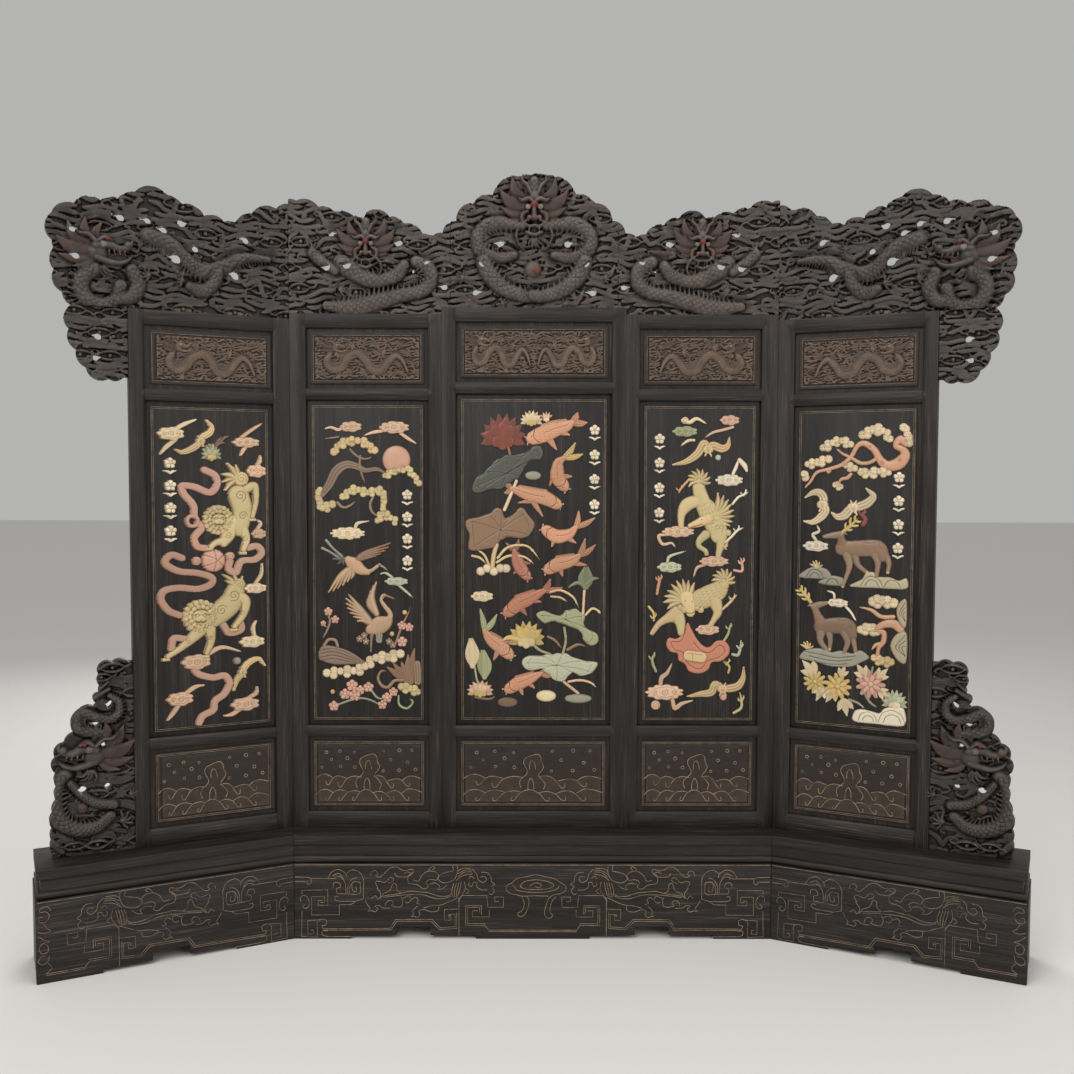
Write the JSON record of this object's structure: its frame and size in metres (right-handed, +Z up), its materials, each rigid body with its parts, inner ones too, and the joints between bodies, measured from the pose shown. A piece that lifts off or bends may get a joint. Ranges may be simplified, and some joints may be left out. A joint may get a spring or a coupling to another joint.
{
  "type": "inlaid wooden screen",
  "caption": "Seated leaf screen of dark wood with stone inlays, angled end leaves, a mitred plinth, an openwork cloud and dragon crest, and foot brackets.",
  "frame": {"origin": "centre of the footprint, on the floor", "axes": "+X along the screen to the viewer's right, +Y to the back, +Z up"},
  "size_m": [3.2098, 0.5822, 2.55],
  "materials": {
    "dark_wood": "satin dark hardwood with fine grain",
    "carved_wood": "carved dark hardwood, polished high spots",
    "plaque_wood": "carved brown hardwood with light ridges",
    "hidden_wood": "plain sawn hardwood",
    "soapstone": "polished soapstone in several colours"
  },
  "bodies": {
    "plinth": {"plinth_centre_front_apron": "dark_wood", "plinth_centre_back_apron": "dark_wood", "plinth_centre_waist": "dark_wood", "plinth_centre_top": "dark_wood", "plinth_left_front_apron": "dark_wood", "plinth_left_back_apron": "dark_wood", "plinth_left_waist": "dark_wood", "plinth_left_top": "dark_wood", "plinth_right_front_apron": "dark_wood", "plinth_right_back_apron": "dark_wood", "plinth_right_waist": "dark_wood", "plinth_right_top": "dark_wood", "plinth_left_end_apron": "dark_wood", "plinth_right_end_apron": "dark_wood", "plinth_cross_ribs": "hidden_wood", "plinth_butterfly_keys": "hidden_wood"},
    "left_leaf": {"leaf_1_left_stile": "dark_wood", "leaf_1_right_stile": "dark_wood", "leaf_1_rails": "dark_wood", "leaf_1_upper_plaque": "plaque_wood", "leaf_1_field": "dark_wood", "leaf_1_lower_plaque": "plaque_wood", "leaf_1_inlays": "soapstone"},
    "centre_leaves": {"leaf_2_left_stile": "dark_wood", "leaf_2_right_stile": "dark_wood", "leaf_2_rails": "dark_wood", "leaf_2_upper_plaque": "plaque_wood", "leaf_2_field": "dark_wood", "leaf_2_lower_plaque": "plaque_wood", "leaf_2_inlays": "soapstone", "leaf_3_left_stile": "dark_wood", "leaf_3_right_stile": "dark_wood", "leaf_3_rails": "dark_wood", "leaf_3_upper_plaque": "plaque_wood", "leaf_3_field": "dark_wood", "leaf_3_lower_plaque": "plaque_wood", "leaf_3_inlays": "soapstone", "leaf_4_left_stile": "dark_wood", "leaf_4_right_stile": "dark_wood", "leaf_4_rails": "dark_wood", "leaf_4_upper_plaque": "plaque_wood", "leaf_4_field": "dark_wood", "leaf_4_lower_plaque": "plaque_wood", "leaf_4_inlays": "soapstone", "middle_leaf_tongues": "hidden_wood", "mitre_tongues": "hidden_wood"},
    "right_leaf": {"leaf_5_left_stile": "dark_wood", "leaf_5_right_stile": "dark_wood", "leaf_5_rails": "dark_wood", "leaf_5_upper_plaque": "plaque_wood", "leaf_5_field": "dark_wood", "leaf_5_lower_plaque": "plaque_wood", "leaf_5_inlays": "soapstone"},
    "centre_crest": {"crest_centre": "carved_wood"},
    "left_crest": {"crest_left": "carved_wood", "crest_ear_left": "carved_wood"},
    "right_crest": {"crest_right": "carved_wood", "crest_ear_right": "carved_wood"},
    "left_bracket": {"bracket_left": "carved_wood"},
    "right_bracket": {"bracket_right": "carved_wood"}
  },
  "joints": [
    {"name": "centre_leaves_lift", "type": "slide", "parent": "plinth", "child": "centre_leaves", "axis": [0, 0, 1], "range_m": [0, 0.06]},
    {"name": "left_leaf_lift", "type": "slide", "parent": "plinth", "child": "left_leaf", "axis": [0, 0, 1], "range_m": [0, 0.06]},
    {"name": "right_leaf_lift", "type": "slide", "parent": "plinth", "child": "right_leaf", "axis": [0, 0, 1], "range_m": [0, 0.06]},
    {"name": "centre_crest_lift", "type": "slide", "parent": "centre_leaves", "child": "centre_crest", "axis": [0, 0, 1], "range_m": [0, 0.05]},
    {"name": "left_crest_lift", "type": "slide", "parent": "left_leaf", "child": "left_crest", "axis": [0, 0, 1], "range_m": [0, 0.05]},
    {"name": "right_crest_lift", "type": "slide", "parent": "right_leaf", "child": "right_crest", "axis": [0, 0, 1], "range_m": [0, 0.05]},
    {"name": "left_bracket_lift", "type": "slide", "parent": "plinth", "child": "left_bracket", "axis": [0, 0, 1], "range_m": [0, 0.05]},
    {"name": "right_bracket_lift", "type": "slide", "parent": "plinth", "child": "right_bracket", "axis": [0, 0, 1], "range_m": [0, 0.05]}
  ]
}
